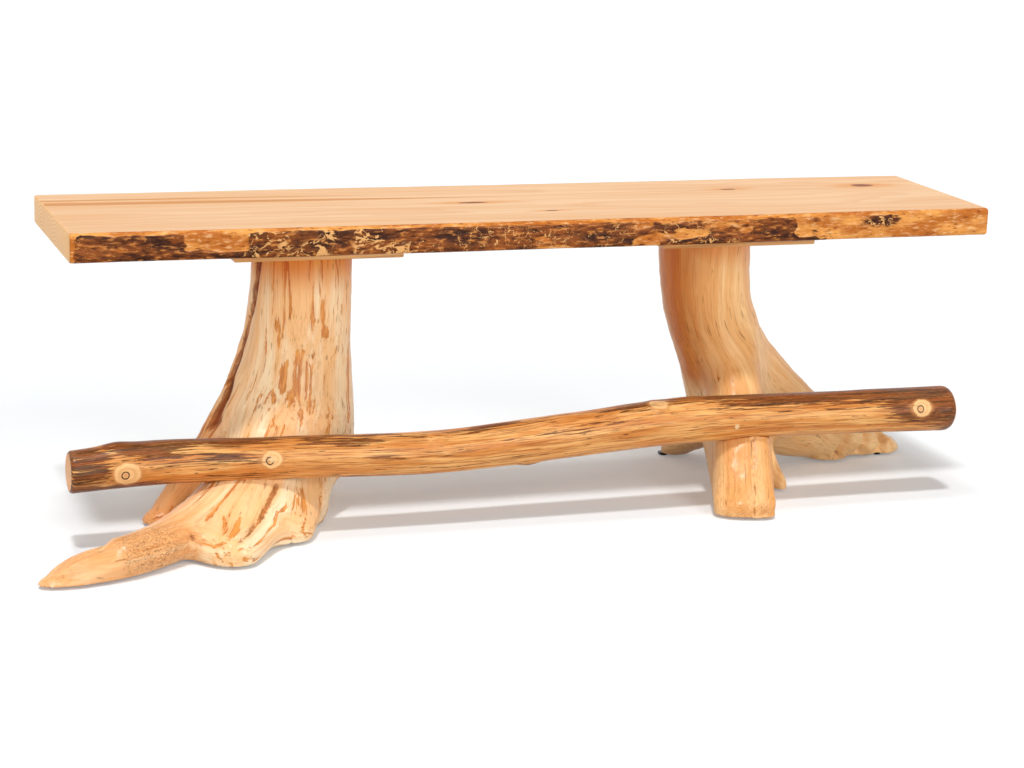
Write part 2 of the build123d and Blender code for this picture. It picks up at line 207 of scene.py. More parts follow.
def log_surface(x, angle):
    """Radius at x and at an angle up from the front: the round of the log, facets, bumps and flat blazes."""
    height, radius = log_centre(x)
    facet = ripple(x / 55.0, np.cos(angle) * 2.6, np.sin(angle) * 2.6, 3)
    swell = ripple(x / 150.0, np.cos(angle) * 0.9, np.sin(angle) * 0.9, 5)
    made = radius + facet_height * facet + swell_height * swell
    for spot, turn, rise, spread in bumps:
        off = wrap(angle - np.radians(turn)) * radius
        made = made + rise * np.exp(-((x - seat_x - spot) ** 2 + 1.6 * off**2) / spread**2)
    for blaze in blazes:
        z, r = log_centre(np.array(blaze.x))
        turn = np.arcsin(np.clip((blaze.height - z) / r, -1, 1))
        off = wrap(angle - turn)
        away = (x - blaze.x) ** 2 + (off * r) ** 2
        made = made + blaze.swell * np.exp(-away / blaze.spread**2)
        flat = (r + blaze.proud) / np.maximum(np.cos(off), 0.2) + 0.15 * ripple(x / 6, off * r / 6, 0.5, 9)
        made = np.where(away < (2.2 * blaze.spread) ** 2, np.minimum(made, flat), made)
    for plug_x, plug_z in plugs:
        z, r = log_centre(np.array(plug_x))
        off = wrap(angle - np.arcsin((plug_z - z) / r)) * r
        near = 1 - ease(np.hypot(x - plug_x, off), plug_round, plug_fade)
        made = made + near * (radius - made)
    return made


# %% Carry the round of the log along its path
log_columns, log_pitch = 84, 2.8
log_arris_left, log_arris_right = 5.0, 15.0
face_shares = np.array([0.12, 0.35, 0.6, 0.82])
arris_turns = np.radians([4, 18, 36, 54, 72])


def end_rows(x_end, arris, inwards):
    """Rows that close an end, from its middle outwards: flat rings, then a quarter round of radius arris."""
    flat = np.stack([np.full(len(face_shares), x_end), face_shares, np.full(len(face_shares), arris)], axis=-1)
    places = x_end + inwards * arris * (1 - np.cos(arris_turns))
    turned = np.stack([places, np.ones(len(arris_turns)), arris * (1 - np.sin(arris_turns))], axis=-1)
    return np.concatenate([flat, turned])


middle_x = np.arange(log_x[0] + log_arris_left, log_x[-1] - log_arris_right, log_pitch)
middle = np.stack([middle_x, np.ones(len(middle_x)), np.zeros(len(middle_x))], axis=-1)
log_rows = np.concatenate([
    end_rows(log_x[0], log_arris_left, 1), middle, end_rows(log_x[-1], log_arris_right, -1)[::-1]
])
row_x, row_share, row_inset = (log_rows[:, k][:, None] for k in range(3))
log_angle = np.linspace(0, 2 * np.pi, log_columns, endpoint=False)[None, :]
radius = (log_surface(row_x, log_angle) - row_inset) * row_share
height = log_centre(row_x)[0]
log_points = np.stack([
    np.broadcast_to(row_x, radius.shape), log_y - radius * np.cos(log_angle), height + radius * np.sin(log_angle)
], axis=-1)
log_box = np.array(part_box("stretcher_log")) * mm_in_metre
log_points = np.clip(log_points, log_box[0], log_box[1])
print("log radius from", radius[20:-20].min().round(2), "to", radius[20:-20].max().round(2))


# %% [markdown]
# Bark is left where the knife skipped: all over the upper back half of the thick end, round the knots and in
# long patches at the thin end. The share of bark is worked out here for every point, and the finish breaks its
# edge up into finer fibres.

# %% Where bark is left on the log
# Each patch: its middle along the log and its turn up from the front, half its length and half its turn, and
# the share of bark in its middle, which fades out over a soft edge.
log_patches = [
    (500, 100, 310, 84, 1.5), (690, 70, 150, 130, 1.5), (725, -60, 55, 80, 1.2), (560, -80, 280, 26, 1.0),
    (-745, 40, 60, 120, 1.0), (-745, -60, 50, 70, 1.1), (-640, 80, 130, 66, 1.1), (-690, -64, 120, 44, 0.9),
    (-560, 90, 230, 56, 1.0), (-350, 70, 220, 44, 0.75), (-330, -82, 280, 40, 0.8), (-80, 76, 170, 34, 0.7),
    (180, 86, 150, 44, 0.8), (-520, -44, 130, 26, 0.6), (40, -80, 320, 34, 0.7), (-560, 16, 150, 30, 0.6),
    (-250, 10, 150, 22, 0.5), (60, 30, 140, 20, 0.45), (-130, -30, 180, 20, 0.45), (0, 180, 1200, 84, 1.0),
]
log_bark = np.zeros(radius.shape)
for x_mid, turn, half_length, half_turn, share in log_patches:
    off = np.degrees(wrap(log_angle - np.radians(turn)))
    away = np.sqrt(((row_x - seat_x - x_mid) / half_length) ** 2 + (off / half_turn) ** 2)
    log_bark = np.maximum(log_bark, share * (1 - ease(away, 0.2, 1.3)))
log_bark = log_bark * (0.75 + 0.25 * ripple(row_x / 40, np.cos(log_angle) * 3, np.sin(log_angle) * 3, 12))
log_grain = np.stack([
    radius * np.cos(log_angle), radius * np.sin(log_angle), np.broadcast_to(row_x, radius.shape)
], axis=-1) * MM
end_face = np.broadcast_to(1 - ease(row_share, 0.9, 1.0) + ease(row_inset, 3.0, 6.0), radius.shape)

poles = np.array([[log_x[0], log_y, log_z[0]], [log_x[-1], log_y, log_z[-1]]])
log_piece = make_tube("peeled_log", log_points, poles, {
    "grain": (log_grain, np.array([[0, 0, log_x[0]], [0, 0, log_x[-1]]]) * MM),
    "bark": (log_bark, np.zeros(2)),
    "end_face": (end_face, np.ones(2)),
})

# %% [markdown]
# ## The seat boards
# Each board is a section carried along the seat. Its outer edge still has the round of the tree, with bark
# that stands a little proud where it holds and is gone where it fell off. The bark has its own height on the
# grid, so light catches its edges, and the same values tell the finish where it is.

# %% Section of a board
front_width, back_width = 213.0, 127.0
glue_line = seat_y + (front_width + back_width) / 2 - back_width
board_pitch = 2.2
edge_arris, end_arris = 6.0, 2.0
seat_bottom = seat_height - slab_thickness
seat_low, seat_high = seat_x - seat_length / 2, seat_x + seat_length / 2
bow_steps = np.linspace(seat_low, seat_high, 7)
front_bows = np.array([0.0, 0.5, 1.0, 0.7, 0.9, 0.3, 0.0])
back_bows = np.array([1.0, 0.6, 1.0, 0.2, 0.3, 1.0, 0.3])
edge_bow = 4.0
flat_steps, edge_steps, side_steps = 26, 22, 7
crowding = 1.6


def section_profile():
    """Round one section, from the glue line's top: reach (0 at that line, 1 at the live edge) and height (0 to 1)."""
    flat = 1 - np.linspace(1, 0, flat_steps) ** crowding
    top = np.stack([flat, np.ones(flat_steps)], axis=-1)
    edge = np.stack([np.ones(edge_steps), 1 - np.linspace(0, 1, edge_steps)], axis=-1)[1:-1]
    bottom = np.stack([flat[::-1], np.zeros(flat_steps)], axis=-1)
    side = np.stack([np.zeros(side_steps), np.linspace(0, 1, side_steps)], axis=-1)[1:-1]
    return np.concatenate([top, edge, bottom, side])


profile = section_profile()
print("board section has", len(profile), "points")


# %% Bark on a live edge
def edge_bark(x, height, seed, lengths):
    """How much bark is left at x and height (mm above the underside), from the share of each length, low and high."""
    wave = ripple(x / 52, height / 14, 0.5, seed) + 0.7 * ripple(x / 21, height / 8, 1.5, seed + 1)
    wave = wave + 0.4 * ripple(x / 9, height / 5, 2.5, seed + 2)
    stations, low, high = np.array(lengths, dtype=float).T
    lower, upper = np.interp(x, stations, low), np.interp(x, stations, high)
    share = lower + (upper - lower) * ease(height, 6, 18)
    bare_lip = ease(height, 38, 43)
    return np.clip(share + 0.22 * wave - 0.8 * bare_lip, 0, 1)


# Bark along the front edge: the place along it, and the share left low down and above that.
front_lengths = [
    (-722, 0.0, 0.0), (-714, 0.7, 0.6), (-707, 1.0, 1.2), (-680, 1.0, 1.0), (-660, 0.9, 0.6),
    (-620, 0.85, 0.85), (-565, 0.9, 0.85), (-545, 0.95, 0.2),
    (-465, 0.8, 0.1), (-452, 0.7, 0.7), (-430, 0.85, 0.95), (-330, 0.9, 0.95), (-220, 0.9, 0.95), (-190, 0.55, 0.8),
    (-100, 0.75, 0.9), (-30, 0.7, 0.8), (0, 0.5, 0.65), (60, 0.7, 0.7), (130, 0.8, 0.75), (200, 0.5, 0.45),
    (270, 0.9, 0.5), (330, 0.85, 0.4), (388, 0.9, 0.7), (404, 1.1, 1.0), (440, 1.1, 0.9), (456, 0.5, 0.2),
    (480, 0.6, 0.5), (530, 0.3, 0.3), (584, 0.1, 0.5), (620, 0.2, 0.7), (655, 0.1, 0.2), (700, 0.1, 0.35),
    (730, 0.2, 0.1), (801, 0.3, 0.1),
]
# How plain the winding figures of bark beetles are: the place along the edge, and their share.
worm_lengths = [
    (-722, 0.02), (-470, 0.02), (-425, 0.7), (-360, 0.6), (-320, 1.0), (-215, 1.0), (-190, 0.12), (-80, 0.2),
    (100, 0.1), (200, 0.3), (340, 0.35), (390, 0.02), (560, 0.02), (600, 0.3), (801, 0.1),
]
back_lengths = [
    (-762, 0.7, 0.6), (-640, 0.8, 0.85), (-520, 0.5, 0.3), (-380, 0.6, 0.5), (-260, 0.8, 0.85), (-100, 0.7, 0.6),
    (60, 0.4, 0.35), (200, 0.8, 0.75), (380, 0.7, 0.8), (520, 0.4, 0.3), (660, 0.7, 0.7), (762, 0.6, 0.6),
]


# %% Carry the section along the seat
bark_height, edge_ripple, edge_wave = 1.3, 0.5, 1.2


def board_rows():
    """Places along the seat, each with how far the section is drawn in, so both sawn ends have a fine arris."""
    turns = np.radians([90, 60, 30, 0])
    from_end = end_arris * (1 - np.sin(turns))
    drawn_in = end_arris * (1 - np.cos(turns))
    middle = np.arange(seat_low + end_arris, seat_high - end_arris, board_pitch)[1:]
    x = np.concatenate([seat_low + from_end, middle, seat_high - from_end[::-1]])
    return x, np.concatenate([drawn_in, np.zeros(len(middle)), drawn_in[::-1]])


def make_board(name, width, outwards, bows, lengths, seed):
    """A closed board: the section's points reach from the glue line to a live edge that bark pushes in and out."""
    x, inset = (values[:, None] for values in board_rows())
    reach, level = profile[None, :, 0], profile[None, :, 1]
    height = level * slab_thickness
    from_face = np.minimum(height, slab_thickness - height)
    round_off = edge_arris - np.sqrt(edge_arris**2 - np.maximum(0, edge_arris - from_face) ** 2)
    bark = edge_bark(x, height, seed, lengths)
    edge = width + edge_bow * along_stations(x, bow_steps, bows) - round_off
    edge = edge + bark_height * ease(bark, 0.35, 0.6) - bark_height
    edge = edge + edge_ripple * ripple(x / 25, height / 12, 0.5, seed + 7)
    edge = edge + edge_wave * (ripple(x / 120, height / 60, 0.5, seed + 4) - 1)
    out = reach * (edge - inset)
    z = seat_bottom + height + inset * np.where(level >= 1, -1, np.where(level <= 0, 1, 0))
    points = np.stack(np.broadcast_arrays(x, glue_line + outwards * out, z), axis=-1)
    first = np.array([seat_low, glue_line + outwards * width / 2, seat_bottom + slab_thickness / 2])
    poles = np.stack([first, first + [seat_length, 0, 0]])
    on_edge = np.broadcast_to(np.where(reach > 0.999, 1.0, 0.0) * (inset < 0.5 * end_arris), bark.shape)
    worm = np.broadcast_to(np.interp(x, *np.array(worm_lengths).T), bark.shape)
    kept = {"bark": bark * on_edge, "edge": on_edge, "worm": worm}
    kept = {key: (grid, np.zeros(2)) for key, grid in kept.items()}
    return make_tube(name, points, poles, kept, turned_over=outwards < 0)


front_board = make_board("front_seat_plank", front_width, -1, front_bows, front_lengths, 21)
back_board = make_board("back_seat_plank", back_width, 1, back_bows, back_lengths, 41)

# %% [markdown]
# ## The root stumps
# A stump has no single grid that fits it: a leaning trunk and up to eight roots flow into each other. So each
# limb is a formula for how far a point is outside it, the formulas are blended into one field, and the skin is
# where the field is zero. The trunk is a lobed circle that shifts and widens downwards. A root is an upright
# oval carried along a curved path on the ground, from inside the trunk to a rounded tip.

# %% Sizes of the stumps
# A root runs from its stump's crown by a knee to a tip, all seen from above and measured from the middle of the
# trunk. Its ridge falls from collar to tip_ridge, the faster the greater fall is, and it narrows from width to
# tip_width. The nose reaches on past the tip, sinks by nose_drop and is rounded over the length of rounding with
# the given power. A square above 2 fills the oval's corners, and joins is how softly it flows into the others.
Root = namedtuple(
    "Root", "knee tip collar tip_ridge width tip_width fall nose nose_drop rounding power square joins",
    defaults=(14.0, 0.0, 40.0, 2.2, 2.0, 1.0),
)
Toe = namedtuple("Toe", "heel tip height tip_height width tip_width joins")
# The trunk's radius grows from top to foot while its middle moves by shift. Crown is where the roots start, arch
# how high their underside starts, and web and flow how softly they join each other and the trunk.
Stump = namedtuple("Stump", "x top foot shift lobe_turn crown arch web flow roots toes")
Place = namedtuple("Place", "field across rise run")

left = Stump(
    seat_x - 370.0, 80.0, 150.0, (-73.0, -5.0), 40.0, (-15.0, -5.0), 30.0, 46.0, 44.0,
    [
        Root((-250, -290), (-392, -325), 270, 58, 112, 62, 3.8, 80.0, 12.0, 72.0, 1.9),
        Root((-105, -180), (-188, -302), 246, 48, 136, 92, 2.2, 18.0),
        Root((-45, -150), (-68, -212), 200, 42, 108, 76, 2.2, 18.0),
        Root((0, -70), (-24, -128), 160, 40, 80, 56, 2.2),
        Root((-130, -20), (-242, -70), 335, 30, 90, 50, 1.0, 26.0, 6.0, 36.0, 2.0, joins=0.3),
        Root((-100, 70), (-176, 112), 240, 36, 130, 74, 2.2),
        Root((-30, 100), (-50, 150), 250, 36, 130, 82, 2.2),
        Root((30, 70), (62, 118), 230, 36, 110, 66, 2.2),
    ],
    [],
)
right = Stump(
    seat_x + 326.0, 77.0, 52.0, (172.0, 0.0), -42.0, (42.0, 0.0), 70.0, 24.0, 30.0,
    [
        Root((36, -106), (-15, -254), 318, 34, 98, 104, 0.85, 9.0, 0.0, 26.0, 2.4, 2.5),
        Root((88, -52), (110, -114), 330, 40, 84, 30, 1.5),
        Root((205, 42), (418, 96), 340, 28, 112, 84, 1.38),
        Root((40, 80), (20, 142), 190, 38, 80, 62, 2.4),
        Root((100, 80), (150, 132), 240, 34, 90, 54, 2.2),
    ],
    [
        Toe((280, 85), (277, 36), 66, 36, 66, 46, 1.0),
        Toe((346, 92), (353, 53), 48, 33, 32, 24, 0.5),
        Toe((386, 98), (396, 56), 44, 31, 34, 28, 0.5),
    ],
)
cleat_thickness = 19.0
stump_top = seat_bottom - cleat_thickness
foot_plane, trunk_bottom, underside_share = 5.0, 70.0, 0.35
grain_round, grain_blend = 95.0, 20.0
widening, lobe_share, toe_nose, toe_power = 2.2, 0.03, 12.0, 2.6
least_taper = 0.05
print("stump from z", foot_plane, "to", stump_top, "mm")


# %% How far a point is outside each limb
def trunk_field(stump, x, y, z):
    """Distance to a circle that leans and widens as (1 - z / top) to the power widening, with three soft lobes."""
    drop = np.clip(1 - z / stump_top, 0, 1) ** widening
    dx, dy = x - stump.x - stump.shift[0] * drop, y - seat_y - stump.shift[1] * drop
    turn = np.arctan2(dy, dx)
    radius = stump.top + (stump.foot - stump.top) * drop
    side = np.hypot(dx, dy) - radius * (1 + lobe_share * np.cos(3 * turn + np.radians(stump.lobe_turn)))
    return Place(blend_max(side, trunk_bottom - z, 20.0), dx, dy, z + 0 * dx)


def oval_field(across, rise, half_width, half_height, behind=0.0, square=2.0):
    """About how far a point is outside an oval: its scaled size less one, over how fast that size grows."""
    u, v = np.abs(np.hypot(across, behind)) / half_width, np.abs(rise) / half_height
    size = (u**square + v**square) ** (1 / square) + 1e-6
    growth = np.hypot((u / size) ** (square - 1) / half_width, (v / size) ** (square - 1) / half_height)
    return (size - 1) / (growth + 1e-6)


def on_path(start, knee, tip, x, y):
    """Nearest place on a curved path in plan: its share t of the way, and the offsets across and ahead of it."""
    def at(k, t):
        return start[k] * (1 - t) ** 2 + 2 * knee[k] * t * (1 - t) + tip[k] * t**2

    def heading(k, t):
        return 2 * (1 - t) * (knee[k] - start[k]) + 2 * t * (tip[k] - knee[k])

    tries = np.linspace(0, 1, 41)
    away = (x[..., None] - at(0, tries)) ** 2 + (y[..., None] - at(1, tries)) ** 2
    t = tries[np.argmin(away, axis=-1)]
    for _ in range(2):
        dx, dy, hx, hy = x - at(0, t), y - at(1, t), heading(0, t), heading(1, t)
        speed = np.hypot(hx, hy)
        ahead = (dx * hx + dy * hy) / speed
        across = (hx * dy - hy * dx) / speed
        t, last = np.clip(t + ahead / speed, 0, 1), t
    return last, across, ahead


def root_field(stump, limb, x, y, z):
    """Distance to an upright oval carried along the root's path, tapered past the tip to a round nose."""
    base = np.array([stump.x, seat_y])
    start, knee, tip = (base + np.array(p) for p in (stump.crown, limb.knee, limb.tip))
    t, across, ahead = on_path(start, knee, tip, x, y)
    ridge = limb.tip_ridge + (limb.collar - limb.tip_ridge) * (1 - t) ** limb.fall
    underside = stump.arch * (1 - t) - underside_share * ridge * t
    left_over = limb.nose - ahead + 2 * np.hypot(*(tip - knee)) * (1 - t)
    past = np.clip(1 - left_over / limb.rounding, 0, 1)
    taper = np.maximum((1 - past**limb.power) ** (1 / limb.power), least_taper)
    half_height = (ridge - underside) / 2
    middle = ridge - half_height - limb.nose_drop * past
    half_width = (limb.width + (limb.tip_width - limb.width) * t) / 2
    behind = np.minimum(ahead, 0) * (t <= 0)
    field = oval_field(across, z - middle, half_width * taper, half_height * taper, behind, limb.square)
    field = np.maximum(field, ahead - limb.nose)
    run = np.hypot(*(tip - start)) * t + ahead
    return Place(field, across + 0 * z, z - ridge, run + 0 * z)


def toe_field(stump, toe, x, y, z):
    """Distance to a short ridge that leaves a root sideways and ends in a round nose."""
    base = np.array([stump.x, seat_y])
    heel, tip = base + np.array(toe.heel), base + np.array(toe.tip)
    run = np.hypot(*(tip - heel))
    hx, hy = (tip - heel) / run
    ahead = (x - heel[0]) * hx + (y - heel[1]) * hy
    across = hx * (y - heel[1]) - hy * (x - heel[0])
    t = np.clip(ahead / run, 0, 1)
    past = np.clip((ahead - run) / toe_nose, 0, 1)
    taper = np.maximum((1 - past**toe_power) ** (1 / toe_power), least_taper)
    ridge = toe.height + (toe.tip_height - toe.height) * t
    half_height = ridge * (1 + underside_share) / 2
    half_width = (toe.width + (toe.tip_width - toe.width) * t) / 2
    field = oval_field(across, z - ridge + half_height, half_width * taper, half_height * taper, np.minimum(ahead, 0))
    return Place(np.maximum(field, ahead - run - toe_nose), across + 0 * z, z - ridge, ahead + 0 * z)


# %% Blend the limbs and cut the stump
saddle_room = 0.2
saddle_round, foot_round, top_round = 1.5, 3.0, 2.0


def blend_min(a, b, k):
    """The smaller of two fields, rounded over where they are within k of each other."""
    h = np.clip(0.5 + 0.5 * (b - a) / k, 0, 1)
    return b + (a - b) * h - k * h * (1 - h)


def blend_max(a, b, k):
    """The larger of two fields, rounded over in the same way."""
    return -blend_min(-a, -b, k)


def log_field(x, y, z):
    """Distance to the log, grown by the saddle's room."""
    height, radius = log_centre(x)
    return np.hypot(y - log_y, z - height) - radius - saddle_room


def limbs(stump, x, y, z):
    """Each point's place by every limb: the trunk, then the roots, then the toes."""
    made = [trunk_field(stump, x, y, z)]
    made += [root_field(stump, limb, x, y, z) for limb in stump.roots]
    made += [toe_field(stump, toe, x, y, z) for toe in stump.toes]
    return made


def stump_field(stump, x, y, z):
    """The roots webbed to each other and blended with the trunk, cut flat at both ends and hollowed by the saddle."""
    trunk, fan, *others = [place.field for place in limbs(stump, x, y, z)]
    for limb, other in zip([*stump.roots[1:], *stump.toes], others):
        fan = blend_min(fan, other, stump.web * limb.joins)
    field = blend_min(trunk, fan, stump.flow)
    field = blend_max(field, -log_field(x, y, z), saddle_round)
    field = blend_max(field, foot_plane - z, foot_round)
    return blend_max(field, z - stump_top, top_round)


# %% [markdown]
# The field is sampled on an even lattice, and OpenVDB puts a four-sided skin on its zero level. Each point is
# then moved onto the exact surface with two steps along the field's slope, so no steps of the lattice show.

# %% Put a skin on a field
field_reach, least_slope, slope_step = 30.0, 0.3, 0.5


def skin(stump, low, high, pitch):
    """Points and quads of the zero level of the stump's field, with outward normals."""
    axes = [np.arange(a - 3 * pitch, b + 4 * pitch, pitch) for a, b in zip(low, high)]
    x, y, z = axes[0][:, None, None], axes[1][None, :, None], axes[2][None, None, :]
    field = np.broadcast_to(stump_field(stump, x, y, z), [len(a) for a in axes])
    grid = openvdb.FloatGrid(background=field_reach)
    grid.copyFromArray(np.ascontiguousarray(np.clip(field, -field_reach, field_reach), dtype=np.float32))
    points, quads = grid.convertToQuads(isovalue=0.0)
    points = points * pitch + np.array([a[0] for a in axes])
    for _ in range(2):
        value, slope = slope_at(stump, points)
        step = value / np.maximum((slope**2).sum(1), least_slope)
        points = points - slope * np.clip(step, -pitch, pitch)[:, None]
    slope = slope_at(stump, points)[1]
    return points, quads, slope / np.linalg.norm(slope, axis=1, keepdims=True)


def slope_at(stump, points):
    """The field and its slope at points, from small steps each way."""
    value = stump_field(stump, *points.T)
    slope = [(stump_field(stump, *(points + slope_step * unit).T) - value) / slope_step for unit in np.eye(3)]
    return value, np.stack(slope, axis=-1)


def stump_grain(stump, points):
    """Where each point lies in the grain, in metres: round the stump, out of it and along the fibres.

    The trunk puts a point at the turn of its own axis on a circle of grain_round. A limb uses the same circle at
    its heading, moved sideways by across and outwards by rise, so that fibres pass from trunk to limb unbroken.
    """
    places = limbs(stump, *points.T)
    nearest = np.min([place.field for place in places], axis=0)
    weight_sum, total = 0.0, 0.0
    for i, (field, across, rise, run) in enumerate(places):
        if i == 0:
            turn, along = np.arctan2(rise, across), run
            across, rise = 0.0, 0.0
        elif i <= len(stump.roots):
            limb = stump.roots[i - 1]
            turn = np.arctan2(limb.tip[1] - stump.crown[1], limb.tip[0] - stump.crown[0])
            leaves = limb.tip_ridge + (limb.collar - limb.tip_ridge) * 0.7**limb.fall
            along = leaves + grain_round - run
        else:
            toe = stump.toes[i - 1 - len(stump.roots)]
            turn = np.arctan2(toe.tip[1] - toe.heel[1], toe.tip[0] - toe.heel[0])
            along = -run
        out = grain_round + rise
        local = np.stack(np.broadcast_arrays(
            out * np.cos(turn) - across * np.sin(turn), out * np.sin(turn) + across * np.cos(turn), along
        ), axis=-1)
        weight = np.exp(-(field - nearest) / grain_blend)[:, None]
        total = total + weight * local
        weight_sum = weight_sum + weight
    return total / weight_sum * MM


# %% [markdown]
# What the tree and the maker left on the stumps is carved next, as small moves in and out of the skin: the long seam
# up the left trunk, the planed end of the long root, the groove down the right front root and the valleys between the
# toes. Each is written in the limb's own across, rise and run, so it follows the limb. Creases, folds, grooves and
# valleys also get painted shade, and so do the tops of the trunks under the seat; the left side of the right trunk is
# partly painted shade, partly darker wood.

# %% Marks carved into the stumps
# Dark and the warm tint carry painted shade in creases, grooves and under the seat, besides the dark seam and warm
# tones of the wood.
Marks = namedtuple("Marks", "depth dark rough amber clean")
seam_heights = [120, 160, 190, 230, 270, 310, 350, 419]
seam_turns = [202, 199, 196, 188, 185, 188, 195, 201]
seam_radius = 88
valley_runs = (228, 283, 320, 354)
skin_pitch, skin_sink = 3.6, 0.8


def dip(away, width):
    """1 on a line and falling to 0 beside it, as a bell curve."""
    return np.exp(-((away / width) ** 2))


def upon(place, reach):
    """1 inside a limb and falling to 0 over about reach outside it."""
    return dip(np.maximum(place.field, 0), reach)


def turn_of(trunk):
    """The turn round the trunk's own axis, from 0 to 360 degrees."""
    return np.degrees(np.arctan2(trunk.rise, trunk.across)) % 360


def carve_left(points):
    """The left stump's marks: the seam, the long root's planed tip and rough skin, a crease and a fold."""
    places = limbs(left, *points.T)
    trunk, long_root, lobe, hind = places[0], places[1], places[2], places[5]
    z = points[:, 2]
    # The seam is a winding groove with a raised lip beside it.
    off = turn_of(trunk) - np.interp(z, seam_heights, seam_turns)
    off = np.radians((off + 180) % 360 - 180) * seam_radius + 3.5 * ripple(z / 22, 0.5, 0.5, 71)
    on_trunk = ease(z, 128, 160) * (np.abs(off) < 60)
    wide = 7.0 + 2.5 * ripple(z / 30, 3.5, 0.5, 72)
    depth = 6.5 * dip(off, wide) * on_trunk - 3.0 * dip(off + 11, 5.5) * on_trunk
    dark = 0.62 * dip(off, wide * 0.95) * on_trunk
    # Two tilted planes cut the tip of the long root, up to 7 mm deep, and end at a small step.
    near, across, run = upon(long_root, 9.0), long_root.across, long_root.run
    planed = near * ease(run, 410, 445)
    front_plane = 0.252 * (run - 434) + 0.523 * across + 0.814 * (z - 57)
    back_plane = 0.252 * (run - 438) - 0.46 * across + 0.85 * (z - 56)
    for plane in (front_plane, back_plane):
        depth = depth + planed * np.minimum((plane + np.hypot(plane, 4.0)) / 2, 7)
    depth = depth + 1.2 * dip(run - 426, 6.0) * near * ease(across, -20, -4)
    # Behind the step the root keeps a rough skin, up to the crease where it leaves the stump.
    rough = near * ease(run, 262, 335) * (1 - ease(run, 418, 452)) * ease(across, -18, 12)
    depth = depth + rough * 0.9 * (ripple(*(points / 6.5).T, 73) + 0.6 * ripple(*(points / 3.6).T, 74))
    crease = dip(run - 286 - 6 * ripple(z / 14, 0.5, 0.5, 75), 5.0) * near * ease(across, 26, 42)
    # The crease is darkened with painted shade as well as cut in.
    depth, dark = depth + 4.5 * crease, np.maximum(dark, 0.25 * crease)
    fold = dip(lobe.across - 27 - 0.12 * (z - 60), 5.0) * upon(lobe, 14.0)
    fold = fold * ease(z, 25, 60) * ease(lobe.run, 150, 190)
    # Painted shade: the top of the trunk under the seat is darkened and warmed, and so is the crease beside the hind
    # root; along the long root the tint is a warmer tone.
    amber = np.maximum(0.95 * ease(z, 350, 415), 0.4 * upon(long_root, 16.0) * ease(run, 200, 300))
    amber = np.maximum(amber, 0.5 * upon(hind, 12.0) * ease(hind.run, 90, 150) * (1 - near))
    clean = upon(long_root, 14.0) * ease(run, 230, 300)
    # The fold is darkened with painted shade as well as cut in.
    return Marks(depth + 4.0 * fold, np.maximum(dark, 0.4 * fold), rough, amber, clean)


def carve_right(points):
    """The right stump's marks: the front root's groove, notch and crinkled skin, and valleys between the toes."""
    places = limbs(right, *points.T)
    trunk, front, buttress = places[0], places[1], places[3]
    z = points[:, 2]
    near = upon(front, 8.0) * ease(front.run, 175, 200)
    groove_at = 13 + 3 * ripple(z / 25, 0.5, 0.5, 81)
    groove = dip(front.across - groove_at, 3.2) * near * ease(front.across, -30, 0)
    strip = ease(front.across, groove_at, groove_at + 8) * near
    notch = dip(front.across - 30, 5) * dip(z - 6, 10) * near
    crinkle = near * 0.45 * ripple(front.across / 16, z / 5.0, 0.5, 82)
    depth = 3.0 * groove + 1.5 * strip * (1 - ease(z, 40, 90)) + 6.0 * notch + crinkle
    valley = sum(dip(buttress.run - run - 0.35 * buttress.rise, 6.0) for run in valley_runs)
    beside = upon(buttress, 14.0) * ease(-buttress.across, 2, 22)
    valley = valley * beside * ease(buttress.run, 190, 240)
    # Painted shade: the top of the trunk under the seat is darkened; the left side of the trunk is partly painted
    # shade and partly darker wood; the front root gets a warmer tone.
    amber = np.maximum(0.6 * ease(z, 370, 415), dip(turn_of(trunk) - 196, 38.0) * ease(z, 150, 190))
    amber = np.maximum(amber, 0.22 * near)
    # Painted shade darkens the groove and the feet of the valleys between the toes.
    dark = np.maximum(0.2 * groove, 0.16 * valley * (1 - ease(z, 10, 34)))
    rough = 0.5 * near * (1 - ease(z, 85, 110))
    clean = 0.6 * upon(buttress, 20.0) * ease(buttress.run, 200, 280)
    return Marks(depth + 12.0 * valley, dark, rough, amber, clean)


def make_stump(name, stump, node, carve):
    """The skinned stump, carved and made uneven by ripples away from its cuts, inside its CAD box."""
    low, high = (np.array(corner) * mm_in_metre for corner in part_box(node))
    points, quads, normal = skin(stump, low, high, skin_pitch)
    z = points[:, 2]
    on_cut = np.maximum(ease(z, stump_top - 4, stump_top - 1), 1 - ease(z, foot_plane + 1, foot_plane + 4))
    on_cut = np.maximum(on_cut, 1 - ease(log_field(*points.T), 0.5, 6.0))
    grain, marks = stump_grain(stump, points), carve(points)
    bumps = 0.9 * ripple(*(points / 24).T, 61) + 0.5 * ripple(*(points / 11).T, 62)
    points = points + normal * ((bumps - skin_sink - marks.depth) * (1 - on_cut))[:, None]
    points = np.clip(points, low, high)
    print(name, "reaches", points.min(0).round(1), points.max(0).round(1))
    kept = {
        "grain": grain, "dark": marks.dark * (1 - on_cut), "rough": marks.rough * (1 - on_cut),
        "amber": marks.amber, "clean": marks.clean,
    }
    return make_piece(name, points, quads, np.zeros((0, 3), int), kept)


left_piece = make_stump("left_root_stump", left, "left_stump", carve_left)
right_piece = make_stump("right_root_stump", right, "right_stump", carve_right)

for piece, node in (
    (log_piece, "stretcher_log"), (front_board, "front_seat_board"), (back_board, "back_seat_board"),
    (left_piece, "left_stump"), (right_piece, "right_stump"),
):
    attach(piece, "root")
    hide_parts(node)

# %% [markdown]
# ## Finishes
# All the wood on the bench shares a few effects: fine fibres that run along the grain, growth rings, knots and
# the skin of inner bark. Each effect is a node group with named inputs, built once, and every wood finish mixes
# them with its own colours. A class gives short ways to add nodes to a tree, so that the finishes stay readable.

